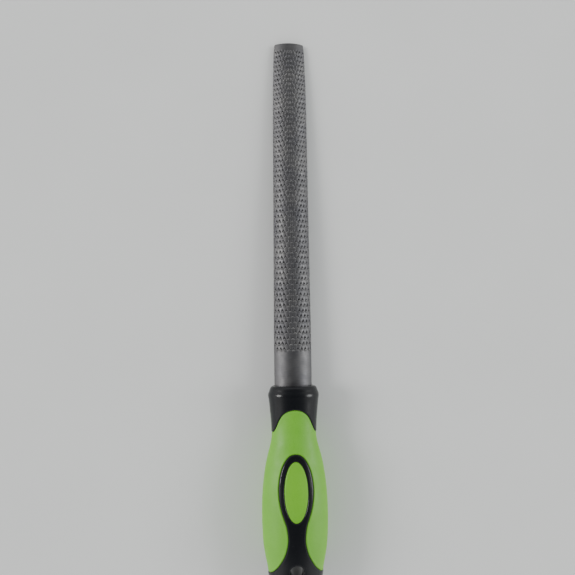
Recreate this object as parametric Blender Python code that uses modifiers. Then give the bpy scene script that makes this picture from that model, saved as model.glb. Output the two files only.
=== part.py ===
"""Half-round wood rasp with a two-colour moulded handle.

Every part is drawn in the frame of the tool: x runs from the handle to the
tip, y across the blade, z out of the round side, with the origin in the front
face of the handle collar. place() then lays the tool down on its handle and
its tip, so the world frame is level and the round side faces up.
"""
import math

import bmesh
import bpy
from mathutils import Matrix, Vector

NAME = "half_round_wood_rasp"

# general: clearance, reach of the through cuts, and merge distances
GAP = 0.0003
THROUGH = 0.060
WELD = 0.00001
TIDY = 0.00002

# blade: stations from the collar to the tip as (x, half width, height above the flat side)
BLADE_STATIONS = (
    (-0.0022, 0.01078, 0.0064),
    (0.0290, 0.01085, 0.0064),
    (0.0720, 0.01048, 0.0063),
    (0.1070, 0.01022, 0.0061),
    (0.1520, 0.01000, 0.0056),
    (0.1740, 0.00975, 0.0051),
    (0.1950, 0.00908, 0.0046),
    (0.2000, 0.00860, 0.0044),
)
BLADE_FLAT_Z = -0.0030
BLADE_EDGE = 0.0011
BLADE_COLUMNS = 20

# rows without teeth as (x, growth); the heel is a hair thinner inside the collar
HEEL_ROWS = ((-0.0022, -0.00005), (0.0004, -0.00005), (0.0005, 0.0), (0.0180, 0.0))
TIP_ROWS = ((0.1988, 0.0), (0.2000, 0.0))

# teeth: punched pyramids in staggered rows, steep towards the tip; the rows close up
# a little towards the tip
TOOTH_START = 0.0202
TOOTH_ROWS = 60
TOOTH_ROW_PITCH = 0.00314
TOOTH_ROW_SHRINK = 0.00000325
TOOTH_RISE = 0.0006
TOOTH_LEAN = 0.00045
TOOTH_VALLEY = 0.0010

# tang, as (x, half width, half thickness)
TANG_ROOT = (-0.0012, 0.0050, 0.0026)
TANG_END = (-0.0570, 0.0022, 0.0014)
RECESS_DEPTH = 0.0025
RECESS_AHEAD = 0.0100

# handle: turned outline as (x, half width), flattened to an oval section
HANDLE_FLATTEN = 0.76
HANDLE_SIDES = 56
HANDLE_OUTLINE = (
    (0.0, 0.0),
    (0.0, 0.0121),
    (-0.0008, 0.0130),
    (-0.0028, 0.0138),
    (-0.0048, 0.0145),
    (-0.0068, 0.0143),
    (-0.0105, 0.0138),
    (-0.0180, 0.0131),
    (-0.0265, 0.0128),
    (-0.0320, 0.0136),
    (-0.0375, 0.0151),
    (-0.0435, 0.0165),
    (-0.0520, 0.0178),
    (-0.0610, 0.0186),
    (-0.0700, 0.01885),
    (-0.0790, 0.0187),
    (-0.0870, 0.0182),
    (-0.0930, 0.0173),
    (-0.0990, 0.0161),
    (-0.1040, 0.0153),
    (-0.1085, 0.0146),
    (-0.1125, 0.0131),
    (-0.1152, 0.0107),
    (-0.1168, 0.0075),
    (-0.1175, 0.0),
)
GRIP_DROP = 0.0003

# inner core under the soft grip, as (x, half width)
SKIN_OUTLINE = (
    (-0.0060, 0.0),
    (-0.0060, 0.0100),
    (-0.0265, 0.0099),
    (-0.0375, 0.0118),
    (-0.0520, 0.0145),
    (-0.0700, 0.0156),
    (-0.0870, 0.0149),
    (-0.1000, 0.0125),
    (-0.1080, 0.0100),
    (-0.1080, 0.0),
)
SKIN_SIDES = 36

# front edge of the soft grip, half outline as (x, y)
TONGUE = (
    (-0.0128, 0.0),
    (-0.0132, 0.0026),
    (-0.0143, 0.0052),
    (-0.0162, 0.0074),
    (-0.0188, 0.0090),
    (-0.0218, 0.0103),
    (-0.0245, 0.0116),
    (-0.0258, 0.0126),
    (-0.0260, 0.0300),
)

# edge of the ring, the stem and the butt, half outline as (x, y)
RING = (
    (-0.0365, 0.0),
    (-0.0372, 0.0028),
    (-0.0392, 0.0051),
    (-0.0428, 0.0072),
    (-0.0468, 0.0086),
    (-0.0515, 0.0095),
    (-0.0565, 0.0098),
    (-0.0615, 0.0094),
    (-0.0660, 0.0085),
    (-0.0705, 0.0071),
    (-0.0745, 0.0057),
    (-0.0785, 0.0050),
    (-0.0825, 0.0048),
    (-0.0865, 0.0054),
    (-0.0905, 0.0066),
    (-0.0945, 0.0086),
    (-0.0975, 0.0105),
    (-0.1000, 0.0127),
    (-0.1016, 0.0145),
    (-0.1026, 0.0300),
)

# oval inside the ring
OVAL_CENTRE_X = -0.0567
OVAL_HALF_LENGTH = 0.0163
OVAL_HALF_WIDTH = 0.0067
OVAL_SIDES = 36

# hanging hole
HOLE_X = -0.1000
HOLE_RADIUS = 0.0040
HOLE_SIDES = 40

# resting attitude: nose-down angle, and the tool origin in the world
REST_ANGLE = math.radians(2.309)
REST_X = -0.041245
REST_Z = 0.011439


def make_collection(name):
    collection = bpy.data.collections.new(name)
    bpy.context.scene.collection.children.link(collection)
    return collection


def clear_scene():
    for obj in list(bpy.data.objects):
        bpy.data.objects.remove(obj, do_unlink=True)


def make_material(name, colour, metallic, roughness):
    material = bpy.data.materials.new(name)
    material.use_nodes = True
    shader = material.node_tree.nodes["Principled BSDF"]
    shader.inputs["Base Color"].default_value = (*colour, 1.0)
    shader.inputs["Metallic"].default_value = metallic
    shader.inputs["Roughness"].default_value = roughness
    return material


def add_object(name, bm, collection):
    bmesh.ops.recalc_face_normals(bm, faces=bm.faces)
    mesh = bpy.data.meshes.new(name)
    bm.to_mesh(mesh)
    bm.free()
    obj = bpy.data.objects.new(name, mesh)
    collection.objects.link(obj)
    return obj


def hide_cutter(obj):
    obj.hide_render = True
    obj.display_type = "WIRE"
    return obj


def apply_modifiers(obj):
    graph = bpy.context.evaluated_depsgraph_get()
    mesh = bpy.data.meshes.new_from_object(obj.evaluated_get(graph))
    old = obj.data
    obj.modifiers.clear()
    obj.data = mesh
    bpy.data.meshes.remove(old)


def combine(obj, other, operation):
    modifier = obj.modifiers.new(operation.lower(), "BOOLEAN")
    modifier.operation = operation
    modifier.solver = "EXACT"
    modifier.object = other
    apply_modifiers(obj)


def tidy_mesh(obj):
    bm = bmesh.new()
    bm.from_mesh(obj.data)
    bmesh.ops.remove_doubles(bm, verts=bm.verts, dist=TIDY)
    bmesh.ops.dissolve_degenerate(bm, edges=bm.edges, dist=TIDY)
    bmesh.ops.triangulate(bm, faces=bm.faces)
    bmesh.ops.recalc_face_normals(bm, faces=bm.faces)
    bm.to_mesh(obj.data)
    bm.free()


def interpolate(stations, x):
    """Half width and height of the blade at x."""
    first = stations[0]
    if x <= first[0]:
        return first[1], first[2]
    for a, b in zip(stations, stations[1:]):
        if x <= b[0]:
            t = (x - a[0]) / (b[0] - a[0])
            return a[1] + (b[1] - a[1]) * t, a[2] + (b[2] - a[2]) * t
    return stations[-1][1], stations[-1][2]


def round_side(half_width, height, y):
    """Height and outward normal of the round side over the flat side."""
    sagitta = height - BLADE_EDGE
    radius = (half_width * half_width + sagitta * sagitta) / (2.0 * sagitta)
    centre = height - radius
    z = centre + math.sqrt(radius * radius - y * y)
    return z, Vector((0.0, y / radius, (z - centre) / radius))


def section_points(x, widen, row):
    """One cross section of the blade, with the teeth of a toothed row."""
    half_width, height = interpolate(BLADE_STATIONS, x)
    half_width += widen
    height += widen
    top = []
    bottom = []
    for column in range(BLADE_COLUMNS + 1):
        share = 1.0 - 2.0 * column / BLADE_COLUMNS
        y = half_width * share
        z, normal = round_side(half_width, height, y)
        z_low = -widen
        if row is not None and is_tooth(row, column):
            lift = normal * TOOTH_RISE
            top.append((x + TOOTH_LEAN, y + lift.y, BLADE_FLAT_Z + z + lift.z))
            bottom.append((x + TOOTH_LEAN, y, BLADE_FLAT_Z + z_low - TOOTH_RISE))
        else:
            top.append((x, y, BLADE_FLAT_Z + z))
            bottom.append((x, y, BLADE_FLAT_Z + z_low))
    return top, bottom


def is_tooth(row, column):
    inside = 0 < column < BLADE_COLUMNS
    return inside and (row + column) % 2 == 0


def tooth_row_x(row):
    return TOOTH_START + row * TOOTH_ROW_PITCH - row * row * TOOTH_ROW_SHRINK


def loft_sections(sections, peaks):
    """Skin matching cross sections and close both ends.

    peaks holds the (section, column) pairs that carry a tooth, so that the
    diagonals are drawn from valley to valley and each tooth stays a pyramid.
    """
    bm = bmesh.new()
    rings = []
    for top, bottom in sections:
        ring_top = [bm.verts.new(p) for p in top]
        ring_bottom = [bm.verts.new(p) for p in bottom]
        rings.append((ring_top, ring_bottom))
    last = len(rings[0][0]) - 1
    for index, (near, far) in enumerate(zip(rings, rings[1:])):
        for side in (0, 1):
            for column in range(last):
                a = near[side][column]
                b = near[side][column + 1]
                c = far[side][column + 1]
                d = far[side][column]
                crossed = (index, column) in peaks or (index + 1, column + 1) in peaks
                other = (index + 1, column) in peaks or (index, column + 1) in peaks
                if crossed:
                    bm.faces.new((a, b, d))
                    bm.faces.new((b, c, d))
                elif other:
                    bm.faces.new((a, b, c))
                    bm.faces.new((a, c, d))
                else:
                    bm.faces.new((a, b, c, d))
        bm.faces.new((near[0][0], near[1][0], far[1][0], far[0][0]))
        bm.faces.new((near[0][last], near[1][last], far[1][last], far[0][last]))
    for ring_top, ring_bottom in (rings[0], rings[-1]):
        bm.faces.new(ring_top + list(reversed(ring_bottom)))
    return bm


def make_wedge(name, near, far, grow, collection):
    """Square-sectioned taper between two stations, grown by a clearance."""
    bm = bmesh.new()
    bmesh.ops.create_cube(bm, size=2.0)
    for vert in bm.verts:
        x, half_width, half_thick = near if vert.co.x > 0.0 else far
        step = grow if vert.co.x > 0.0 else -grow
        vert.co = Vector((
            x + step,
            math.copysign(half_width + grow, vert.co.y),
            math.copysign(half_thick + grow, vert.co.z),
        ))
    return add_object(name, bm, collection)


def make_blade(parts, cutters):
    sections = []
    peaks = set()
    for x, growth in HEEL_ROWS:
        sections.append(section_points(x, growth, None))
    for row in range(TOOTH_ROWS):
        x = tooth_row_x(row)
        for column in range(BLADE_COLUMNS + 1):
            if is_tooth(row, column):
                peaks.add((len(sections), column))
        sections.append(section_points(x, 0.0, row))
        sections.append(section_points(x + TOOTH_VALLEY, 0.0, None))
    for x, growth in TIP_ROWS:
        sections.append(section_points(x, growth, None))
    blade = add_object("rasp_blade", loft_sections(sections, peaks), parts)
    tang = make_wedge("tang_taper", TANG_ROOT, TANG_END, 0.0, cutters)
    combine(blade, hide_cutter(tang), "UNION")
    return blade


def make_turned(name, outline, sides, flatten, collection):
    """Turn a half outline about the x axis and press it to an oval."""
    bm = bmesh.new()
    verts = [bm.verts.new((x, 0.0, radius)) for x, radius in outline]
    for a, b in zip(verts, verts[1:]):
        bm.edges.new((a, b))
    mesh = bpy.data.meshes.new(name)
    bm.to_mesh(mesh)
    bm.free()
    obj = bpy.data.objects.new(name, mesh)
    collection.objects.link(obj)
    screw = obj.modifiers.new("turn", "SCREW")
    screw.axis = "X"
    screw.angle = math.tau
    screw.steps = sides
    screw.render_steps = sides
    screw.use_merge_vertices = True
    screw.merge_threshold = WELD
    apply_modifiers(obj)
    bm = bmesh.new()
    bm.from_mesh(obj.data)
    bmesh.ops.rotate(bm, verts=bm.verts, matrix=Matrix.Rotation(math.pi / 2.0, 3, "X"))
    bmesh.ops.remove_doubles(bm, verts=bm.verts, dist=WELD)
    bmesh.ops.scale(bm, verts=bm.verts, vec=(1.0, 1.0, flatten))
    bmesh.ops.recalc_face_normals(bm, faces=bm.faces)
    bm.to_mesh(obj.data)
    bm.free()
    return obj


def make_prism(name, outline, low, high, collection):
    """Stand a plan outline up between two heights."""
    bm = bmesh.new()
    face = bm.faces.new([bm.verts.new((x, y, low)) for x, y in outline])
    grown = bmesh.ops.extrude_face_region(bm, geom=[face])
    moved = [item for item in grown["geom"] if isinstance(item, bmesh.types.BMVert)]
    bmesh.ops.translate(bm, verts=moved, vec=(0.0, 0.0, high - low))
    return hide_cutter(add_object(name, bm, collection))


def smooth_half(points, corners):
    """Add the middle of a Catmull-Rom span between each pair, past the sharp first corners."""
    smoothed = list(points[:corners])
    for index in range(corners, len(points)):
        x1, y1 = points[index - 1]
        x2, y2 = points[index]
        x0, y0 = (2 * x1 - x2, 2 * y1 - y2)
        if index > corners:
            x0, y0 = points[index - 2]
        x3, y3 = (2 * x2 - x1, 2 * y2 - y1)
        if index + 1 < len(points):
            x3, y3 = points[index + 1]
        middle = ((9 * (x1 + x2) - x0 - x3) / 16.0, (9 * (y1 + y2) - y0 - y3) / 16.0)
        smoothed.append(middle)
        smoothed.append((x2, y2))
    return smoothed


def offset_half(points, distance):
    """Move a half outline sideways; the first point stays on the centre line."""
    moved = []
    last = len(points) - 1
    for index, (x, y) in enumerate(points):
        x0, y0 = points[max(index - 1, 0)]
        x1, y1 = points[min(index + 1, last)]
        length = math.hypot(x1 - x0, y1 - y0)
        normal_x = (y1 - y0) / length
        normal_y = (x0 - x1) / length
        if index == 0 or index == last:
            normal_x, normal_y = 1.0, 0.0
        moved.append((x + normal_x * distance, y + normal_y * distance))
    return moved


def mirror_half(points):
    """Both halves of an outline, from one side to the other."""
    return [(x, -y) for x, y in reversed(points)] + list(points[1:])


def grip_outline(clearance):
    """Plan of the soft grip: behind the tongue edge, around the ring and stem."""
    front = mirror_half(offset_half(smooth_half(TONGUE, 1), -clearance))
    rear = mirror_half(offset_half(smooth_half(RING, 1), clearance))
    return front + list(reversed(rear))


def oval_outline(clearance):
    points = []
    for index in range(OVAL_SIDES):
        angle = math.tau * index / OVAL_SIDES
        points.append((
            OVAL_CENTRE_X + (OVAL_HALF_LENGTH - clearance) * math.cos(angle),
            (OVAL_HALF_WIDTH - clearance) * math.sin(angle),
        ))
    return points


def grow_outline(outline, distance):
    """Turned outline with its radius and its ends moved outwards."""
    grown = []
    for x, radius in outline:
        shift = distance if x == outline[0][0] else 0.0
        if x == outline[-1][0]:
            shift = -distance
        grown.append((x + shift, radius + distance if radius > 0.0 else 0.0))
    return grown


def make_skin(name, clearance, collection):
    outline = grow_outline(SKIN_OUTLINE, clearance)
    skin = make_turned(name, outline, SKIN_SIDES, HANDLE_FLATTEN, collection)
    return hide_cutter(skin)


def make_core(parts, cutters):
    outline = smooth_half(HANDLE_OUTLINE, 2)
    core = make_turned("handle_core", outline, HANDLE_SIDES, HANDLE_FLATTEN, parts)
    grip_cut = make_prism("grip_room", grip_outline(0.0), -THROUGH, THROUGH, cutters)
    combine(grip_cut, make_skin("grip_room_skin", 0.0, cutters), "DIFFERENCE")
    combine(core, grip_cut, "DIFFERENCE")
    oval_cut = make_prism("oval_room", oval_outline(0.0), -THROUGH, THROUGH, cutters)
    combine(oval_cut, make_skin("oval_room_skin", 0.0, cutters), "DIFFERENCE")
    combine(core, oval_cut, "DIFFERENCE")
    combine(core, make_hole(cutters), "DIFFERENCE")
    combine(core, make_recess(cutters), "DIFFERENCE")
    socket = make_wedge("tang_socket", TANG_ROOT, TANG_END, GAP, cutters)
    combine(core, hide_cutter(socket), "DIFFERENCE")
    return core


def make_hole(cutters):
    bm = bmesh.new()
    bmesh.ops.create_cone(
        bm,
        cap_ends=True,
        segments=HOLE_SIDES,
        radius1=HOLE_RADIUS,
        radius2=HOLE_RADIUS,
        depth=THROUGH,
        matrix=Matrix.Translation((HOLE_X, 0.0, 0.0)),
    )
    return hide_cutter(add_object("hang_hole", bm, cutters))


def make_recess(cutters):
    """Room for the heel of the blade in the front face of the collar."""
    sections = [section_points(x, GAP, None) for x in (-RECESS_DEPTH, RECESS_AHEAD)]
    bm = loft_sections(sections, set())
    return hide_cutter(add_object("heel_recess", bm, cutters))


def make_grip(parts, cutters):
    outline = grow_outline(smooth_half(HANDLE_OUTLINE, 2), -GRIP_DROP)
    grip = make_turned("grip_sleeve", outline, HANDLE_SIDES, HANDLE_FLATTEN, parts)
    plan = make_prism("grip_plan", grip_outline(GAP), -THROUGH, THROUGH, cutters)
    combine(grip, plan, "INTERSECT")
    combine(grip, make_skin("grip_skin", GAP, cutters), "DIFFERENCE")
    return grip


def make_inlay(name, low, high, parts, cutters):
    outline = grow_outline(smooth_half(HANDLE_OUTLINE, 2), -GRIP_DROP)
    inlay = make_turned(name, outline, HANDLE_SIDES, HANDLE_FLATTEN, parts)
    plan = make_prism(name + "_plan", oval_outline(GAP), low, high, cutters)
    combine(inlay, plan, "INTERSECT")
    combine(inlay, make_skin(name + "_skin", GAP, cutters), "DIFFERENCE")
    return inlay


def place(obj, material):
    """Give an object its material and lay it down in the world."""
    tidy_mesh(obj)
    obj.data.materials.clear()
    obj.data.materials.append(material)
    obj.rotation_euler = (0.0, REST_ANGLE, 0.0)
    obj.location = (REST_X, 0.0, REST_Z)


def steel_material():
    return make_material("hardened_steel", (0.16, 0.16, 0.17), 1.0, 0.38)


def core_material():
    return make_material("black_polypropylene", (0.012, 0.013, 0.015), 0.0, 0.26)


def rubber_material(name):
    return make_material(name, (0.17, 0.40, 0.07), 0.0, 0.55)


def main():
    clear_scene()
    parts = make_collection(NAME)
    cutters = make_collection(NAME + "_cutters")
    place(make_blade(parts, cutters), steel_material())
    place(make_core(parts, cutters), core_material())
    place(make_grip(parts, cutters), rubber_material("green_grip_rubber"))
    for name, low, high in (("front_oval_inlay", 0.0, THROUGH), ("back_oval_inlay", -THROUGH, 0.0)):
        inlay = make_inlay(name, low, high, parts, cutters)
        place(inlay, rubber_material(name + "_rubber"))


main()
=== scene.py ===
import math

import bmesh
import bpy
import numpy as np
from mathutils import Matrix, Vector


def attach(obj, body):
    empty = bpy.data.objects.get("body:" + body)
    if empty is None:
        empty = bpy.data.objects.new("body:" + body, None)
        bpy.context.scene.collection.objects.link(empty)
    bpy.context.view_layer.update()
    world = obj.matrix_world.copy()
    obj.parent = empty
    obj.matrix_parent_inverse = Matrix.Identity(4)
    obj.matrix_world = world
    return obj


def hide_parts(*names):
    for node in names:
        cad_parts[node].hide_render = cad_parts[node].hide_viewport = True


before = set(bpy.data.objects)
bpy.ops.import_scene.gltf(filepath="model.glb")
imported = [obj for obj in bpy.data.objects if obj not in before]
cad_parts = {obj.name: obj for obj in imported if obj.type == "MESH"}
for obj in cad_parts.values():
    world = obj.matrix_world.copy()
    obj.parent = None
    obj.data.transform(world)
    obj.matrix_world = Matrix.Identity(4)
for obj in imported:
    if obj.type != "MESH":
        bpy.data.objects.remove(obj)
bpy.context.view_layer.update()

# Half-round wood rasp with a two-colour moulded handle. Sizes are in mm, in the frame of the
# tool: x runs along it, from the front of the collar at 0 towards the tip, and z points from the
# flat side to the round side. to_world turns them into the resting attitude, in metres.
MM = 0.001
REST_ANGLE = math.radians(2.309)
REST_ORIGIN = np.array([-41.245, 0.0, 11.439])

# points nearer than this are welded, in metres; distances nearer than this are equal
WELD = 2e-7
TOUCHING = 0.001

# rings that fill an end or a wall, as shares of the way out from its middle
INNER_RINGS = (0.85, 0.6, 0.3)

# blade: x, half width, height of the round side above the flat side; then the z of the flat
# side, the thickness of the long edges, and the stations of the plain heel
BLADE_STATIONS = np.array([
    (-2.2, 10.78, 6.4), (29.0, 10.85, 6.4), (72.0, 10.48, 6.3), (107.0, 10.22, 6.1),
    (152.0, 10.0, 5.6), (174.0, 9.75, 5.1), (195.0, 9.08, 4.6), (200.0, 8.6, 4.4),
])
BLADE_FLAT = -3.0
BLADE_EDGE = 1.1
EDGE_ROUND = 0.28
TIP_ROUND = 0.45
HEEL_HIDDEN = (-2.2, -1.2)
HEEL_START = -0.4
HEEL_END = 18.3
HEEL_STEP = 0.45

# teeth: places across a face, of which a row takes the even or the odd ones, and mesh cells
# between two places; then the rows along the blade, and the stations of the mesh at each row
PLACES = 20
CELLS = 6
TOOTH_START = 20.5
TOOTH_ROWS = 60
TOOTH_PITCH = 3.14
TOOTH_SHRINK = 0.00325
TOOTH_STATIONS = (-1.55, -1.15, -0.80, -0.50, -0.25, -0.06, 0.06, 0.20, 0.40, 0.68, 1.02)

# one tooth: its ramp and its pit along the blade, height, depth, half width as a share of the
# pitch, how far its edge is bowed back and leans forward, how much these vary, the height of
# the outermost teeth as a share, and the strip along the blade's edges where teeth fade out
TOOTH_RAMP = 1.5
PIT_REACH = 1.45
TOOTH_RISE = 0.58
TOOTH_PIT = 0.60
TOOTH_WIDTH = 0.78
TOOTH_BOW = 0.50
TOOTH_LEAN = 0.18
RISE_SPREAD = 0.13
RISE_LIMITS = (0.65, 1.03)
PIT_SPREAD = 0.15
PLACE_SPREAD = 0.10
OUTER_TOOTH = 0.55
EDGE_STRIP = (0.4, 0.6)

# tone of the steel, with painted shade and highlight: 0, darkest, in the pits, 1, brightest, on
# the tooth points
BARE_TONE = 0.5
TIP_TONE = 0.56
TIP_CORNER_TONE = 0.62

# handle: x, half width of the turned outline; then its height as a share of its width, and the
# columns and the row step of its mesh
HANDLE_PROFILE = [
    (0.0, 11.75), (-0.06, 12.1), (-0.3, 12.5), (-0.8, 12.98), (-1.6, 13.4), (-2.8, 13.78),
    (-4.0, 14.25), (-4.9, 14.45), (-5.9, 14.42), (-7.4, 14.15), (-10.5, 13.8), (-18.0, 13.1),
    (-23.0, 12.8), (-27.5, 12.85), (-32.0, 13.6), (-37.5, 15.1), (-43.5, 16.5), (-52.0, 17.8),
    (-61.0, 18.6), (-70.0, 18.85), (-79.0, 18.7), (-87.0, 18.2), (-93.0, 17.3), (-99.0, 16.1),
    (-104.0, 15.3), (-108.5, 14.45), (-112.3, 12.9), (-115.0, 10.5), (-116.7, 7.3),
    (-117.35, 3.6), (-117.5, 0.0),
]
FLATTEN = 0.76
SIDES = 264
STEP = 0.42

# half outlines of the colours, x and y: the green tongue, and the black ring with its stem;
# then the green oval in the ring: middle, half length and half width
TONGUE = [
    (-12.8, 0.0), (-13.2, 2.6), (-14.3, 5.2), (-16.2, 7.4), (-18.8, 9.0), (-21.8, 10.3),
    (-24.5, 11.6), (-25.8, 12.8), (-26.0, 15.0), (-26.0, 30.0),
]
RING = [
    (-36.5, 0.0), (-37.2, 2.8), (-39.2, 5.1), (-42.8, 7.2), (-46.8, 8.6), (-51.5, 9.5),
    (-56.5, 9.8), (-61.5, 9.4), (-66.0, 8.5), (-70.5, 7.1), (-74.5, 5.7), (-78.5, 5.0),
    (-82.5, 4.8), (-86.5, 5.4), (-90.5, 6.6), (-94.5, 8.6), (-97.5, 10.5), (-100.0, 12.7),
    (-101.6, 14.5), (-102.4, 17.0), (-102.6, 30.0),
]
OVAL = (-56.7, 16.3, 6.7)
OVAL_MARGIN = 1.02

# recess around the heel of the blade
RECESS_MIDDLE = 0.35
RECESS_GAP = 0.3
RECESS_ROUND = 0.45
RECESS_WALL = 2.4
RECESS_FLOOR = 2.5

# parting line of the mould: angles of the closer columns of the mesh, of which the first is
# also the half width of the ridge, then its height and how it fades out at both ends
PARTING_STEPS = (0.0055, 0.011)
PARTING_RISE = 0.05
PARTING_BUTT = -117.0
PARTING_FADE = (0.6, 2.0)

# hanging hole: place, radius, rounding of its rim, the step between the points of its middle
# ring, and how near a point must be to a cut of the mesh to move onto it
HOLE_X = -100.0
HOLE_RADIUS = 4.0
HOLE_ROUND = 0.9
HOLE_STEP = math.tau / 48
HOLE_SNAP = 0.006

# columns of the handle's point data, behind three of place and three of normal
FIELD = 6
RHO = 7

# heights of the surfaces against the turned outline, how far the seam's rounding reaches on
# each side, the raised lip of the rubber, and the distances from the seam where the mesh is cut
GRIP_LEVEL = -0.30
GRIP_INNER = -2.3
CORE_UNDER = -2.6
SEAM_LEVEL = -0.95
GRIP_ROUND = 0.55
CORE_ROUND = 0.8
LIP_RISE = 0.10
LIP_AT = 0.9
LIP_WIDTH = 0.55
SEAM_CUTS = (0.0, 0.05, 0.14, 0.28, 0.5, 0.85, -0.05, -0.15, -0.32, -0.6, -1.0)
SEAM_SNAP = 0.008
FAR_IN_BLACK = -20.0
BLACK_FRONT_ROWS = 3

# camera, in the frame of the tool: place, tilt along the tool, lean to the side, roll, lens
CAMERA_AT = np.array([33.97, 23.94, 355.55])
CAMERA_TILT = math.radians(3.555)
CAMERA_LEAN = math.radians(-3.436)
CAMERA_ROLL = math.radians(-0.742)
CAMERA_LENS = 38.82
CAMERA_SENSOR = 36.0
SKY_STRENGTH = 1.38


# ---------------------------------------------------------------- geometry helpers

def to_world(points):
    """Tool frame in mm to world frame in metres."""
    c, s = math.cos(REST_ANGLE), math.sin(REST_ANGLE)
    x, y, z = points[:, 0], points[:, 1], points[:, 2]
    turned = np.stack([x * c + z * s, y, z * c - x * s], axis=1)
    return (turned + REST_ORIGIN) * MM


def catmull(points, per_span):
    """Smooth curve through points, as a dense polyline."""
    p = np.array(points, float)
    ends = np.vstack([2 * p[0] - p[1], p, 2 * p[-1] - p[-2]])
    t = np.linspace(0.0, 1.0, per_span, endpoint=False)[:, None]
    parts = []
    for a, b, c, d in zip(ends, ends[1:], ends[2:], ends[3:]):
        parts.append(0.5 * (2 * b + (c - a) * t + (2 * a - 5 * b + 4 * c - d) * t ** 2
                            + (3 * b - a - 3 * c + d) * t ** 3))
    parts.append(p[-1:])
    return np.vstack(parts)


def resample(line, step):
    """Polyline with points at even distances along it."""
    lengths = np.concatenate([[0.0], np.cumsum(np.hypot(*np.diff(line, axis=0).T))])
    count = max(2, int(round(lengths[-1] / step)) + 1)
    at = np.linspace(0.0, lengths[-1], count)
    return np.stack([np.interp(at, lengths, line[:, k]) for k in range(line.shape[1])], axis=1)


def plan_distance(points, line):
    """Distance in plan to a polyline, and the unit direction away from it."""
    a, b = line[:-1], line[1:]
    ab = b - a
    best = np.full(len(points), 1e9)
    away = np.zeros((len(points), 2))
    for start in range(0, len(points), 20000):
        p = points[start:start + 20000, None, :]
        t = np.clip(((p - a) * ab).sum(2) / (ab * ab).sum(1), 0.0, 1.0)
        gap = p - (a + ab * t[..., None])
        d2 = (gap * gap).sum(2)
        k = d2.argmin(1)
        rows = np.arange(len(k))
        d = np.sqrt(d2[rows, k])
        best[start:start + len(k)] = d
        away[start:start + len(k)] = gap[rows, k] / np.maximum(d, 1e-9)[:, None]
    return best, away


def half_plane_x(line, y):
    """x of a half outline at |y|, for telling its two sides apart."""
    return np.interp(np.abs(y), line[:, 1], line[:, 0])


def grid_faces(rows, columns):
    """Quads of a grid whose last column joins its first."""
    r, c = np.meshgrid(np.arange(rows - 1), np.arange(columns), indexing="ij")
    a = r * columns + c
    b = r * columns + (c + 1) % columns
    return np.stack([a, b, b + columns, a + columns], axis=2).reshape(-1, 4)


def split_level(data, tris, column, level, snap):
    """Cut triangles along the line where a column of the vertex data equals level."""
    data = data.copy()
    near = np.abs(data[:, column] - level) < snap
    data[near, column] = level
    value = data[:, column] - level
    sign = np.sign(value)[tris]
    cut = (sign.min(1) < 0) & (sign.max(1) > 0)
    keep, work, sign = tris[~cut], tris[cut], sign[cut]
    has_zero = (sign == 0).any(1)
    first = np.where(has_zero, (sign == 0).argmax(1), (sign == -sign.sum(1)[:, None]).argmax(1))
    order = (first[:, None] + np.arange(3)) % 3
    work = np.take_along_axis(work, order, axis=1)
    one, two = work[has_zero], work[~has_zero]
    edges = np.vstack([one[:, [1, 2]], two[:, [0, 1]], two[:, [0, 2]]])
    unique, index = np.unique(np.sort(edges, axis=1), axis=0, return_inverse=True)
    index = index.reshape(-1) + len(data)
    a, b = unique[:, 0], unique[:, 1]
    t = (value[a] / (value[a] - value[b]))[:, None]
    fresh = data[a] + (data[b] - data[a]) * t
    fresh[:, column] = level
    n1, n2 = len(one), len(two)
    mid = index[:n1]
    ab, ac = index[n1:n1 + n2], index[n1 + n2:]
    parts = [
        keep,
        np.stack([one[:, 0], one[:, 1], mid], 1),
        np.stack([one[:, 0], mid, one[:, 2]], 1),
        np.stack([two[:, 0], ab, ac], 1),
        np.stack([ab, two[:, 1], two[:, 2]], 1),
        np.stack([ab, two[:, 2], ac], 1),
    ]
    return np.vstack([data, fresh]), np.vstack(parts)


def open_edges(tris):
    """Edges that only one triangle uses, in the direction that it uses them."""
    edges = np.vstack([tris[:, [0, 1]], tris[:, [1, 2]], tris[:, [2, 0]]])
    ordered = np.sort(edges, axis=1)
    unique, first, counts = np.unique(ordered, axis=0, return_index=True, return_counts=True)
    return edges[first[counts == 1]]


def make_piece(name, points, groups, material, node, relief_shade=None):
    """Closed mesh from tool-frame points and arrays of faces, standing for a CAD node."""
    used = np.unique(np.concatenate([group.ravel() for group in groups]))
    renumber = np.zeros(len(points), int)
    renumber[used] = np.arange(len(used))
    faces = [face for group in groups for face in renumber[group].tolist()]
    mesh = bpy.data.meshes.new(name)
    mesh.from_pydata(to_world(points[used]).tolist(), [], faces)
    # per-point tone of painted shade and highlight, used by the steel
    if relief_shade is not None:
        attribute = mesh.attributes.new("relief_shade", "FLOAT", "POINT")
        attribute.data.foreach_set("value", relief_shade[used].astype(np.float32))
    bm = bmesh.new()
    bm.from_mesh(mesh)
    bmesh.ops.remove_doubles(bm, verts=bm.verts, dist=WELD)
    bmesh.ops.recalc_face_normals(bm, faces=bm.faces)
    bm.to_mesh(mesh)
    bm.free()
    mesh.shade_smooth()
    obj = bpy.data.objects.new(name, mesh)
    bpy.context.scene.collection.objects.link(obj)
    obj.data.materials.append(material)
    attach(obj, "root")
    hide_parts(node)


# ---------------------------------------------------------------- materials

def new_material(name, colour, metallic, roughness):
    """Material with its node tree and its shader."""
    material = bpy.data.materials.new(name)
    material.use_nodes = True
    tree = material.node_tree
    shader = tree.nodes["Principled BSDF"]
    shader.inputs["Base Color"].default_value = (*colour, 1.0)
    shader.inputs["Metallic"].default_value = metallic
    shader.inputs["Roughness"].default_value = roughness
    return material, tree, shader


def add(tree, kind, **values):
    """New node with its settings."""
    node = tree.nodes.new(kind)
    for key, value in values.items():
        setattr(node, key, value)
    return node


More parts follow.
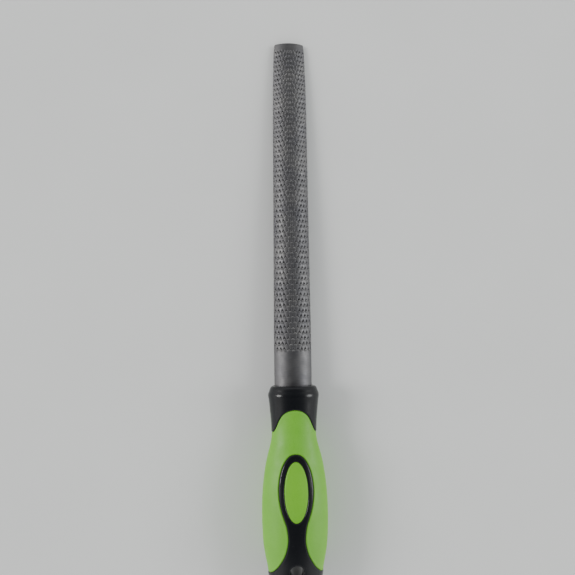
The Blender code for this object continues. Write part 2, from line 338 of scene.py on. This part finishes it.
def object_coords(tree, scale):
    """Object coordinates in metres, stretched by scale."""
    coords = add(tree, "ShaderNodeTexCoord")
    mapping = add(tree, "ShaderNodeMapping")
    mapping.inputs["Scale"].default_value = scale
    tree.links.new(coords.outputs["Object"], mapping.inputs["Vector"])
    return mapping.outputs["Vector"]


def noise(tree, vector, scale, detail, rough=0.55):
    """Noise from 0 to 1 with scale cells to a metre."""
    node = add(tree, "ShaderNodeTexNoise")
    node.inputs["Scale"].default_value = scale
    node.inputs["Detail"].default_value = detail
    node.inputs["Roughness"].default_value = rough
    tree.links.new(vector, node.inputs["Vector"])
    return node.outputs["Fac"]


def ramp(tree, value, stops):
    """Colour ramp over (position, colour) stops."""
    node = add(tree, "ShaderNodeValToRGB")
    elements = node.color_ramp.elements
    while len(elements) < len(stops):
        elements.new(0.5)
    for element, (position, colour) in zip(elements, stops):
        element.position = position
        element.color = (*colour, 1.0)
    tree.links.new(value, node.inputs["Fac"])
    return node.outputs["Color"]


def remap(tree, value, low, high, to_low, to_high):
    """Value from the range low to high, brought to the range to_low to to_high."""
    node = add(tree, "ShaderNodeMapRange")
    node.inputs["From Min"].default_value = low
    node.inputs["From Max"].default_value = high
    node.inputs["To Min"].default_value = to_low
    node.inputs["To Max"].default_value = to_high
    tree.links.new(value, node.inputs["Value"])
    return node.outputs["Result"]


def mix(tree, blend, factor, a, b):
    """Colour mix; each input is a number, a colour or another node's output."""
    node = add(tree, "ShaderNodeMix", data_type="RGBA", blend_type=blend)
    for socket, value in ((node.inputs[0], factor), (node.inputs[6], a), (node.inputs[7], b)):
        if isinstance(value, float):
            socket.default_value = value
        elif isinstance(value, tuple):
            socket.default_value = (*value, 1.0)
        else:
            tree.links.new(value, socket)
    return node.outputs[2]


def bump(tree, shader, height, strength, distance, below=None):
    """Bump on the shader, on top of the bump below it."""
    node = add(tree, "ShaderNodeBump")
    node.inputs["Strength"].default_value = strength
    node.inputs["Distance"].default_value = distance
    tree.links.new(height, node.inputs["Height"])
    if below is not None:
        tree.links.new(below, node.inputs["Normal"])
    tree.links.new(node.outputs["Normal"], shader.inputs["Normal"])
    return node.outputs["Normal"]


def steel_material():
    """Hardened rasp steel: painted shade in the pits, painted highlight on the tooth points,
    ground heel.
    """
    material, tree, shader = new_material("hardened_rasp_steel", (0.2, 0.2, 0.21), 0.88, 0.4)
    fine = object_coords(tree, (1.0, 1.0, 1.0))
    across = object_coords(tree, (9.0, 0.7, 0.7))
    # painted shade in the pits and painted highlight on the tooth points, from each point's tone
    relief_shade = add(tree, "ShaderNodeAttribute", attribute_name="relief_shade").outputs["Fac"]
    tone = ramp(tree, relief_shade, [
        (0.0, (0.070, 0.068, 0.074)), (0.40, (0.106, 0.104, 0.110)), (0.5, (0.128, 0.127, 0.131)),
        (0.72, (0.150, 0.149, 0.151)), (1.0, (0.31, 0.307, 0.30)),
    ])
    clouds = noise(tree, fine, 95.0, 5.0)
    clouded = mix(tree, "MULTIPLY", 1.0, tone, ramp(tree, clouds, [
        (0.3, (0.80, 0.80, 0.83)), (0.7, (1.1, 1.09, 1.06)),
    ]))
    lines = noise(tree, across, 420.0, 3.0, 0.7)
    shaded = mix(tree, "MULTIPLY", 0.75, clouded, ramp(tree, lines, [
        (0.3, (0.78, 0.78, 0.79)), (0.7, (1.15, 1.15, 1.15)),
    ]))
    tree.links.new(shaded, shader.inputs["Base Color"])
    rough = remap(tree, noise(tree, fine, 260.0, 4.0), 0.3, 0.7, 0.42, 0.56)
    tree.links.new(rough, shader.inputs["Roughness"])
    grain = bump(tree, shader, noise(tree, fine, 3200.0, 3.0), 0.25, 0.00004)
    bump(tree, shader, lines, 0.35, 0.00004, grain)
    return material


def core_material():
    """Glossy black moulded plastic with faint dust and an uneven polish."""
    material, tree, shader = new_material("glossy_black_plastic", (0.012, 0.013, 0.016), 0.0, 0.2)
    vector = object_coords(tree, (1.0, 1.0, 1.0))
    dust = ramp(tree, noise(tree, vector, 2600.0, 2.0, 0.4), [
        (0.70, (0.0, 0.0, 0.0)), (0.78, (1.0, 1.0, 1.0)),
    ])
    colour = mix(tree, "MIX", dust, (0.0060, 0.0066, 0.0084), (0.04, 0.04, 0.04))
    tree.links.new(colour, shader.inputs["Base Color"])
    rough = remap(tree, noise(tree, vector, 140.0, 5.0), 0.3, 0.7, 0.12, 0.24)
    tree.links.new(rough, shader.inputs["Roughness"])
    shader.inputs["Specular IOR Level"].default_value = 0.32
    peel = bump(tree, shader, noise(tree, vector, 900.0, 2.0), 0.10, 0.00005)
    bump(tree, shader, noise(tree, vector, 5200.0, 2.0), 0.06, 0.00002, peel)
    return material


def grip_material(name, colour, deep):
    """Soft green rubber with a fine moulded grain."""
    material, tree, shader = new_material(name, colour, 0.0, 0.5)
    vector = object_coords(tree, (1.0, 1.0, 1.0))
    patch = ramp(tree, noise(tree, vector, 60.0, 4.0), [(0.3, deep), (0.7, colour)])
    speck = ramp(tree, noise(tree, vector, 1900.0, 2.0, 0.5), [
        (0.30, (0.82, 0.85, 0.80)), (0.42, (1.0, 1.0, 1.0)), (0.66, (1.0, 1.0, 1.0)),
        (0.78, (1.22, 1.18, 1.25)),
    ])
    tree.links.new(mix(tree, "MULTIPLY", 1.0, patch, speck), shader.inputs["Base Color"])
    rough = remap(tree, noise(tree, vector, 180.0, 4.0), 0.3, 0.7, 0.42, 0.58)
    tree.links.new(rough, shader.inputs["Roughness"])
    shader.inputs["Sheen Weight"].default_value = 0.6
    shader.inputs["Sheen Tint"].default_value = (0.50, 1.0, 0.12, 1.0)
    shader.inputs["Sheen Roughness"].default_value = 0.45
    pebble = bump(tree, shader, noise(tree, vector, 2400.0, 3.0), 0.35, 0.00005)
    bump(tree, shader, noise(tree, vector, 420.0, 3.0), 0.12, 0.00008, pebble)
    return material


def floor_material():
    """Pale matt floor."""
    material, tree, shader = new_material("pale_floor", (0.62, 0.62, 0.60), 0.0, 0.7)
    vector = object_coords(tree, (1.0, 1.0, 1.0))
    tone = ramp(tree, noise(tree, vector, 9.0, 6.0), [
        (0.3, (0.80, 0.81, 0.80)), (0.7, (0.84, 0.85, 0.84)),
    ])
    tree.links.new(tone, shader.inputs["Base Color"])
    bump(tree, shader, noise(tree, vector, 900.0, 3.0), 0.08, 0.0001)
    return material


# ---------------------------------------------------------------- blade

def tooth_edge_x(k):
    """Place of the edges of tooth row k; the rows draw closer towards the tip."""
    return TOOTH_START + k * TOOTH_PITCH - k * k * TOOTH_SHRINK


def blade_rows():
    """Stations along the blade: x, tooth row or -1, and place against the tooth edge."""
    heel = np.concatenate([HEEL_HIDDEN, np.arange(HEEL_START, HEEL_END, HEEL_STEP)])
    rows = [(x, -1, 0.0) for x in heel]
    rows += [(tooth_edge_x(k) + a, k, a) for k in range(TOOTH_ROWS) for a in TOOTH_STATIONS]
    # plain strip from just past the last row to just before the rounded tip
    strip = np.linspace(rows[-1][0] + 0.4, BLADE_STATIONS[-1, 0] - TIP_ROUND - 0.1, 6)
    rows += [(x, -1, 0.0) for x in strip]
    return rows


def circle_points(angles):
    """Points of the unit circle; angle 0 is straight up."""
    return np.stack([np.sin(angles), np.cos(angles)], 1)


def blade_loop(half, height, inset=0.0):
    """Cross section: points, normals and, on the two faces, the distance from the middle."""
    half = half - inset
    height = height - 2.0 * inset
    low = BLADE_FLAT + inset
    sagitta = height - BLADE_EDGE
    radius = (half * half + sagitta * sagitta) / (2.0 * sagitta)
    reach = math.asin(half / radius)
    share = np.linspace(-1.0, 1.0, PLACES * CELLS + 1)
    # round side, from -y to +y
    angle = share * (reach - EDGE_ROUND / radius)
    top_n = circle_points(angle)
    top = [0.0, low + height - radius] + radius * top_n
    # rounded corners of the edge, from the round side down to the flat side
    upper_n = circle_points(np.linspace(angle[-1], math.pi / 2.0, 5)[1:])
    upper = top[-1] - EDGE_ROUND * top_n[-1] + EDGE_ROUND * upper_n
    flat_half = upper[-1, 0] - EDGE_ROUND
    lower_n = circle_points(np.linspace(math.pi / 2.0, math.pi, 6)[:-1])
    lower = [flat_half, low + EDGE_ROUND] + EDGE_ROUND * lower_n
    right = np.vstack([upper, lower])
    right_n = np.vstack([upper_n, lower_n])
    # flat side, from +y to -y
    flat = np.stack([-share * flat_half, np.full(len(share), low)], 1)
    flat_n = np.tile([0.0, -1.0], (len(share), 1))
    mirror = np.array([-1.0, 1.0])
    points = np.vstack([top, right, flat, right[::-1] * mirror])
    normals = np.vstack([top_n, right_n, flat_n, right_n[::-1] * mirror])
    edge = np.zeros(len(right))
    arc = np.concatenate([angle * radius, edge, share * flat_half, edge])
    return points, normals, arc


def tooth_fields(a, c, rise, pit, width):
    """Height of a punched tooth and its pit, and the shift of its edge along the blade.

    a is the distance from the tooth's edge along the blade, c from its middle across it.
    """
    # tooth: a rounded body that rises steeply to its edge at a = 0
    share = np.abs(c) / width
    body = np.clip(1.0 - share ** 1.5, 0.0, None)
    slope = np.clip((a + TOOTH_RAMP) / TOOTH_RAMP, 0.0, 1.0) ** 2.3
    tooth = rise * body ** 0.85 * slope * (a < 0.0)
    # pit: deepest at the edge, narrower and shallower ahead of it
    narrowing = 1.0 - 0.85 * np.clip(a, 0.0, PIT_REACH) / PIT_REACH
    narrow = width * 0.95 * np.clip(narrowing, 0.05, 1.0)
    hollow = np.clip(1.0 - (np.abs(c) / narrow) ** 1.8, 0.0, None)
    fade = np.clip(1.0 - a / PIT_REACH, 0.0, 1.0) ** 0.8
    dent = -pit * hollow ** 0.8 * fade * (a > 0.0)
    # edge: its ends bow back, and its crest leans forward over the pit
    bow = -TOOTH_BOW * np.clip(share, 0.0, 1.0) ** 1.7 * np.exp(-(a / 0.8) ** 2)
    lean = TOOTH_LEAN * body * np.exp(-((a + 0.06) / 0.12) ** 2)
    return tooth + dent, bow + lean


def tooth_row(face, k, a, arc, wild):
    """Lift, shift and painted tone across a face, at distance a from the edges of tooth row k."""
    place = (np.linspace(-1.0, 1.0, PLACES * CELLS + 1) + 1.0) / 2.0 * PLACES
    parity = (k + face) % 2
    centre = np.round((place - parity) / 2.0).astype(int) * 2 + parity
    span = np.abs(arc)
    spread = 2.0 * span.max() / PLACES
    c = (place - centre) * spread
    wild = wild[k][np.clip(centre, 0, PLACES + 1)]
    rise = TOOTH_RISE * np.clip(1.0 + RISE_SPREAD * wild[:, 0], *RISE_LIMITS)
    pit = TOOTH_PIT * (1.0 + PIT_SPREAD * wild[:, 1])
    inside = ((centre > 0) & (centre < PLACES)).astype(float)
    edge_fade = np.clip((span.max() + EDGE_STRIP[0] - span) / EDGE_STRIP[1], 0.0, 1.0)
    keep = np.maximum(inside, OUTER_TOOTH) * edge_fade
    taper = np.clip(1.0 - (np.abs(c) / spread) ** 4, 0.0, 1.0)
    c = c + PLACE_SPREAD * wild[:, 2] * taper
    lift, shift = tooth_fields(a, c, rise, pit, spread * TOOTH_WIDTH)
    shift = shift + PLACE_SPREAD * wild[:, 3] * taper * math.exp(-(a / 0.7) ** 2)
    # tone: painted shade down into each pit, painted highlight up to each tooth point
    tone = np.where(lift > 0.0, lift / TOOTH_RISE, lift / TOOTH_PIT)
    return lift * keep, shift * keep, BARE_TONE + 0.5 * tone * keep


def end_rings(rim):
    """Rings that draw an end section in to its middle."""
    middle = np.array([rim[0, 0], 0.0, rim[:, 2].mean()])
    return [middle + (rim - middle) * share for share in (*INNER_RINGS, 0.0)]


def blade_section(x, k, a, wild):
    """Points and tone of the section at x; k is its tooth row, or -1 where it has none."""
    half = np.interp(x, BLADE_STATIONS[:, 0], BLADE_STATIONS[:, 1])
    height = np.interp(x, BLADE_STATIONS[:, 0], BLADE_STATIONS[:, 2])
    loop, normals, arc = blade_loop(half, height)
    lift = np.zeros(len(loop))
    shift = np.zeros(len(loop))
    tone = np.full(len(loop), BARE_TONE)
    toothed_faces = (0, 1) if k >= 0 else ()
    for face in toothed_faces:
        first = face * len(loop) // 2
        part = slice(first, first + PLACES * CELLS + 1)
        lift[part], shift[part], tone[part] = tooth_row(face, k, a, arc[part], wild[face])
    return np.column_stack([x + shift, loop + normals * lift[:, None]]), tone


def build_blade(material):
    """Forged blade: plain heel, staggered punched teeth on both faces, blunt tip."""
    rng = np.random.default_rng(11)
    wild = [rng.normal(0.0, 1.0, (TOOTH_ROWS, PLACES + 2, 4)) for _ in ("round", "flat")]
    # points, with each point's tone of painted shade and highlight
    points, relief_shade = [], []
    for x, k, a in blade_rows():
        section, tone = blade_section(x, k, a, wild)
        points.append(section)
        relief_shade.append(tone)
    # rounded corners of the tip
    half, height = BLADE_STATIONS[-1, 1:]
    for turn in np.radians(np.linspace(0.0, 90.0, 6)[1:]):
        loop = blade_loop(half, height, TIP_ROUND * (1.0 - math.cos(turn)))[0]
        x = BLADE_STATIONS[-1, 0] - TIP_ROUND * (1.0 - math.sin(turn))
        points.append(np.column_stack([np.full(len(loop), x), loop]))
        relief_shade.append(np.full(len(loop), TIP_CORNER_TONE))
    heel, tip = end_rings(points[0]), end_rings(points[-1])
    points = heel[::-1] + points + tip
    tip_tone = np.full(len(relief_shade[0]), TIP_TONE)
    relief_shade = [relief_shade[0]] * len(heel) + relief_shade + [tip_tone] * len(tip)
    faces = grid_faces(len(points), len(points[0]))
    make_piece("toothed_blade", np.vstack(points), [faces], material, "rasp_blade",
               np.concatenate(relief_shade))


# ---------------------------------------------------------------- handle

def recess_radius(angles, grow):
    """Distance from the recess's middle to its outline around the heel, by angle."""
    loop, normals, _ = blade_loop(BLADE_STATIONS[0, 1], BLADE_STATIONS[0, 2])
    outline = loop + normals * (RECESS_GAP + grow)
    polar = np.arctan2(outline[:, 1] - RECESS_MIDDLE, outline[:, 0])
    radius = np.hypot(outline[:, 0], outline[:, 1] - RECESS_MIDDLE)
    order = np.argsort(polar)
    polar, radius = polar[order], radius[order]
    wrapped = np.concatenate([polar - math.tau, polar, polar + math.tau])
    return np.interp(angles, wrapped, np.tile(radius, 3))


def handle_angles():
    """Even angles around the handle, with closer ones at the two parting lines."""
    even = np.arange(SIDES) * math.tau / SIDES
    close = [side * math.pi + sign * step
             for side in (0, 1) for step in PARTING_STEPS for sign in (1, -1)]
    return np.sort(np.concatenate([even, close]) % math.tau)


def handle_surface():
    """Grid over the whole handle: heel recess, front face, body and butt."""
    turn = handle_angles()
    unit = np.stack([np.cos(turn), FLATTEN * np.sin(turn)], 1)
    profile = resample(catmull(HANDLE_PROFILE, 14), STEP)
    body = [np.column_stack([np.full(len(turn), x), unit * r]) for x, r in profile]
    face = body[0]
    angles = np.arctan2(face[:, 2] - RECESS_MIDDLE, face[:, 1])

    def recess_row(depth, grow, scale=1.0):
        """Row of the recess at a depth, with its outline grown and then scaled."""
        radius = recess_radius(angles, grow) * scale
        return np.column_stack([np.full(len(turn), -depth), radius * np.cos(angles),
                                RECESS_MIDDLE + radius * np.sin(angles)])

    lip = recess_row(0.0, RECESS_ROUND)
    front = [face + (lip - face) * t for t in (0.25, 0.5, 0.75, 1.0)]
    for a in np.radians([25.0, 50.0, 75.0, 90.0]):
        depth, grow = RECESS_ROUND * (1.0 - math.cos(a)), RECESS_ROUND * (1.0 - math.sin(a))
        front.append(recess_row(depth, grow))
    front.append(recess_row(RECESS_WALL / 2.0, 0.0))
    front.append(recess_row(RECESS_WALL, 0.0))
    front.append(recess_row(RECESS_FLOOR, 0.0, 0.9))
    front.append(recess_row(RECESS_FLOOR, 0.0, 0.0))
    return np.array(front[::-1] + body), len(front)


def colour_field(points, normals):
    """Signed distance over the surface to the colour boundary; green is positive."""
    plan = points[:, :2]
    tongue = catmull(TONGUE, 10)
    ring = catmull(RING, 10)
    angle = np.linspace(0.0, math.tau, 241)
    oval = np.stack([OVAL[0] + OVAL[1] * np.cos(angle), OVAL[2] * np.sin(angle)], 1)

    def surface_distance(line, half_outline):
        """Distance in plan, made longer where the surface slopes away from the line."""
        side = np.sign(plan[:, 1]) if half_outline else np.ones(len(plan))
        d, away = plan_distance(np.column_stack([plan[:, 0], plan[:, 1] * side]), line)
        away[:, 1] *= side
        lean = np.clip((away * normals[:, :2]).sum(1) ** 2, 0.0, 0.94)
        return d / np.sqrt(1.0 - lean)

    d_tongue = surface_distance(tongue, True)
    d_tongue = np.where(plan[:, 0] < half_plane_x(tongue, plan[:, 1]), d_tongue, -d_tongue)
    d_ring = surface_distance(ring, True)
    d_oval = surface_distance(oval, False)
    inside_oval = ((plan[:, 0] - OVAL[0]) / OVAL[1]) ** 2 + (plan[:, 1] / OVAL[2]) ** 2 < 1.0
    d_oval = np.where(inside_oval, d_oval, -d_oval)
    reach = np.interp(-plan[:, 0], -ring[:, 0], ring[:, 1])
    inside_ring = (plan[:, 0] < ring[0, 0]) & (np.abs(plan[:, 1]) < reach)
    inside_ring |= plan[:, 0] < ring[-1, 0]
    d_ring = np.where(inside_ring, -d_ring, d_ring)
    return np.maximum(np.minimum(d_tongue, d_ring), d_oval)


def surface_level(field):
    """Height of the surface against the turned outline, by distance from the seam."""
    green = np.clip(field / GRIP_ROUND, 0.0, 1.0)
    rubber = SEAM_LEVEL + (GRIP_LEVEL - SEAM_LEVEL) * np.sqrt(1.0 - (1.0 - green) ** 2)
    rubber += LIP_RISE * np.exp(-((field - LIP_AT) / LIP_WIDTH) ** 2) * (field > 0.0)
    black = np.clip(-field / CORE_ROUND, 0.0, 1.0)
    plastic = SEAM_LEVEL - SEAM_LEVEL * np.sqrt(1.0 - (1.0 - black) ** 2)
    return np.where(field > 0.0, rubber, plastic)


def grid_normals(grid):
    """Unit normals of the handle grid, pointing out."""
    along = np.gradient(grid, axis=0)
    around = np.roll(grid, -1, axis=1) - np.roll(grid, 1, axis=1)
    normals = np.cross(along, around)
    length = np.linalg.norm(normals, axis=2, keepdims=True)
    return normals / np.maximum(length, 1e-9)


def round_hole(points, rho):
    """Turn the rim of the hanging hole over into its wall."""
    near = rho < HOLE_RADIUS + HOLE_ROUND + TOUCHING
    past = np.clip(HOLE_RADIUS + HOLE_ROUND - rho, 0.0, HOLE_ROUND)
    drop = HOLE_ROUND - np.sqrt(HOLE_ROUND ** 2 - past ** 2)
    points[:, 2] -= np.where(near, np.sign(points[:, 2]) * drop, 0.0)
    moved_rho = np.hypot(points[:, 0] - HOLE_X, points[:, 1])
    pull = np.where(near, rho / np.maximum(moved_rho, 1e-6), 1.0)
    points[:, 0] = HOLE_X + (points[:, 0] - HOLE_X) * pull
    points[:, 1] *= pull


def parting_line(points):
    """Faint ridge where the halves of the mould met, along both sides."""
    angle = np.arctan2(np.abs(points[:, 2]) / FLATTEN, np.abs(points[:, 1]))
    front = np.clip(-points[:, 0] / PARTING_FADE[0], 0.0, 1.0)
    butt = np.clip((points[:, 0] - PARTING_BUTT) / PARTING_FADE[1], 0.0, 1.0)
    return PARTING_RISE * np.exp(-(angle / PARTING_STEPS[0]) ** 2) * (front * butt)


def cut_handle():
    """Handle grid as triangles, cut along the seams and around the hanging hole."""
    grid, front_rows = handle_surface()
    rows, columns = grid.shape[:2]
    points = grid.reshape(-1, 3)
    normals = grid_normals(grid).reshape(-1, 3)
    field = colour_field(points, normals)
    field[:(front_rows + BLACK_FRONT_ROWS) * columns] = FAR_IN_BLACK
    rho = np.hypot(points[:, 0] - HOLE_X, points[:, 1])
    data = np.column_stack([points, normals, field, rho])
    quads = grid_faces(rows, columns)
    tris = np.vstack([quads[:, [0, 1, 2]], quads[:, [0, 2, 3]]])
    for level in SEAM_CUTS:
        data, tris = split_level(data, tris, FIELD, level, SEAM_SNAP)
    for turn in np.radians(np.linspace(0.0, 90.0, 7)):
        level = HOLE_RADIUS + HOLE_ROUND * (1.0 - math.sin(turn))
        data, tris = split_level(data, tris, RHO, level, HOLE_SNAP)
    return data, tris[data[tris, RHO].mean(1) > HOLE_RADIUS]


def build_handle(black, green, front_green, back_green):
    """One surface over the handle, parted along its seams into core, sleeve and two ovals."""
    data, tris = cut_handle()
    base, normals, field, rho = data[:, :3], data[:, 3:6], data[:, FIELD], data[:, RHO]
    normals = normals / np.maximum(np.linalg.norm(normals, axis=1, keepdims=True), 1e-9)
    level = surface_level(field) + parting_line(base)
    outer = base + normals * level[:, None]
    round_hole(outer, rho)
    middle = outer[tris].mean(1)
    is_green = field[tris].mean(1) > 0.0
    reach = ((middle[:, 0] - OVAL[0]) / OVAL[1]) ** 2 + (middle[:, 1] / OVAL[2]) ** 2
    in_oval = is_green & (reach < OVAL_MARGIN)
    build_core(outer, base + normals * CORE_UNDER, tris[~is_green], tris[is_green], rho, black)
    grip_inner = base + normals * GRIP_INNER
    for name, chosen, material, node in (
        ("soft_grip_sleeve", is_green & ~in_oval, green, "grip_sleeve"),
        ("front_oval_pad", in_oval & (middle[:, 2] > 0.0), front_green, "front_oval_inlay"),
        ("back_oval_pad", in_oval & (middle[:, 2] < 0.0), back_green, "back_oval_inlay"),
    ):
        build_skin(name, outer, grip_inner, tris[chosen], material, node)


def build_skin(name, outer, inner, tris, material, node):
    """Moulded rubber: its outer faces, its inner faces and the walls along its edge."""
    rim = open_edges(tris)
    walls = np.column_stack([rim[:, ::-1], rim + len(outer)])
    groups = [tris, tris[:, ::-1] + len(outer), walls]
    make_piece(name, np.vstack([outer, inner]), groups, material, node)


def build_core(outer, under, black, green, rho, material):
    """Hard plastic: its bare faces, its faces under the rubber, the steps and the hole."""
    start = len(outer)
    seam = open_edges(green)
    steps = np.column_stack([seam, seam[:, ::-1] + start])
    wall_points, wall = hole_wall(outer, black, rho, 2 * start)
    points = np.vstack([outer, under, wall_points])
    make_piece("hard_core", points, [black, green + start, steps, wall], material, "handle_core")


def hole_wall(points, tris, rho, start):
    """Wall of the hanging hole, from each rim to the middle plane; start numbers its points."""
    edges = open_edges(tris)
    rim = edges[(np.abs(rho[edges] - HOLE_RADIUS) < TOUCHING).all(1)]
    verts, place = np.unique(rim, return_inverse=True)
    place = place.reshape(rim.shape)
    rings = [points[verts] * [1.0, 1.0, share] for share in INNER_RINGS]
    angle = np.arctan2(points[verts, 1], points[verts, 0] - HOLE_X)
    angle = np.round(angle / HOLE_STEP) * HOLE_STEP
    across = HOLE_RADIUS * np.stack([np.cos(angle), np.sin(angle)], 1)
    rings.append(np.column_stack([HOLE_X + across[:, 0], across[:, 1], np.zeros(len(verts))]))
    fresh = start + np.arange(len(rings) * len(verts)).reshape(len(rings), -1)
    numbers = np.vstack([verts, fresh])
    faces = []
    for above, below in zip(numbers, numbers[1:]):
        faces.append(np.column_stack([above[place][:, ::-1], below[place]]))
    return np.vstack(rings), np.vstack(faces)


# ---------------------------------------------------------------- stage

def tool_matrix():
    """Resting attitude of the tool, as to_world."""
    move = Matrix.Translation(Vector(REST_ORIGIN * MM))
    return move @ Matrix.Rotation(REST_ANGLE, 4, "Y")


def build_camera():
    """Camera above the tool, placed and turned in the frame of the tool."""
    ahead = Vector((math.sin(CAMERA_TILT), math.sin(CAMERA_LEAN), -1.0)).normalized()
    right = ahead.cross(Vector((1.0, 0.0, 0.0))).normalized()
    up = right.cross(ahead)
    c, s = math.cos(CAMERA_ROLL), math.sin(CAMERA_ROLL)
    side = c * right + s * up
    head = c * up - s * right
    matrix = Matrix((side, head, -ahead)).transposed().to_4x4()
    matrix.translation = Vector(CAMERA_AT * MM)
    data = bpy.data.cameras.new("photo_view")
    data.sensor_width = CAMERA_SENSOR
    data.lens = CAMERA_LENS
    data.clip_start = 0.01
    camera = bpy.data.objects.new("photo_view", data)
    camera.matrix_world = tool_matrix() @ matrix
    bpy.context.scene.collection.objects.link(camera)
    bpy.context.scene.camera = camera


def soft_sun(name, source, strength, width, colour):
    """A wide, even light from one side of the room."""
    data = bpy.data.lights.new(name, "SUN")
    data.energy = strength
    data.angle = math.radians(width)
    data.color = colour
    light = bpy.data.objects.new(name, data)
    light.rotation_euler = Vector(source).to_track_quat("Z", "Y").to_euler()
    bpy.context.scene.collection.objects.link(light)


def build_stage():
    """Floor, a room that is darker overhead than at its walls, and two wide lights."""
    bm = bmesh.new()
    bmesh.ops.create_grid(bm, x_segments=8, y_segments=8, size=12.0)
    mesh = bpy.data.meshes.new("floor")
    bm.to_mesh(mesh)
    bm.free()
    floor = bpy.data.objects.new("floor", mesh)
    bpy.context.scene.collection.objects.link(floor)
    floor.data.materials.append(floor_material())
    world = bpy.data.worlds.new("soft_room")
    world.use_nodes = True
    tree = world.node_tree
    coords = add(tree, "ShaderNodeTexCoord")
    split = add(tree, "ShaderNodeSeparateXYZ")
    tree.links.new(coords.outputs["Generated"], split.inputs["Vector"])
    height = ramp(tree, split.outputs["Z"], [
        (0.0, (0.95, 0.96, 0.97)), (0.55, (1.0, 1.0, 1.0)), (0.80, (0.30, 0.305, 0.31)),
        (1.0, (0.10, 0.103, 0.106)),
    ])
    side = remap(tree, split.outputs["Y"], -1.0, 1.0, 0.0, 1.0)
    sides = ramp(tree, side, [
        (0.0, (0.92, 0.93, 0.92)), (0.5, (0.60, 0.61, 0.62)), (1.0, (1.0, 0.995, 0.98)),
    ])
    sky = mix(tree, "MULTIPLY", 1.0, height, sides)
    tree.links.new(sky, tree.nodes["Background"].inputs["Color"])
    tree.nodes["Background"].inputs["Strength"].default_value = SKY_STRENGTH
    bpy.context.scene.world = world
    soft_sun("left_light", (0.10, 0.85, 0.52), 1.5, 22.0, (1.0, 0.99, 0.97))
    soft_sun("right_light", (0.05, -0.88, 0.46), 1.2, 26.0, (0.98, 1.0, 0.99))


def build_all():
    """The whole scene."""
    build_stage()
    build_blade(steel_material())
    sleeve = ((0.164, 0.490, 0.030), (0.146, 0.450, 0.024))
    pad = ((0.166, 0.490, 0.018), (0.150, 0.456, 0.014))
    build_handle(
        core_material(),
        grip_material("soft_green_rubber", *sleeve),
        grip_material("front_pad_rubber", *pad),
        grip_material("back_pad_rubber", *pad),
    )
    build_camera()


build_all()
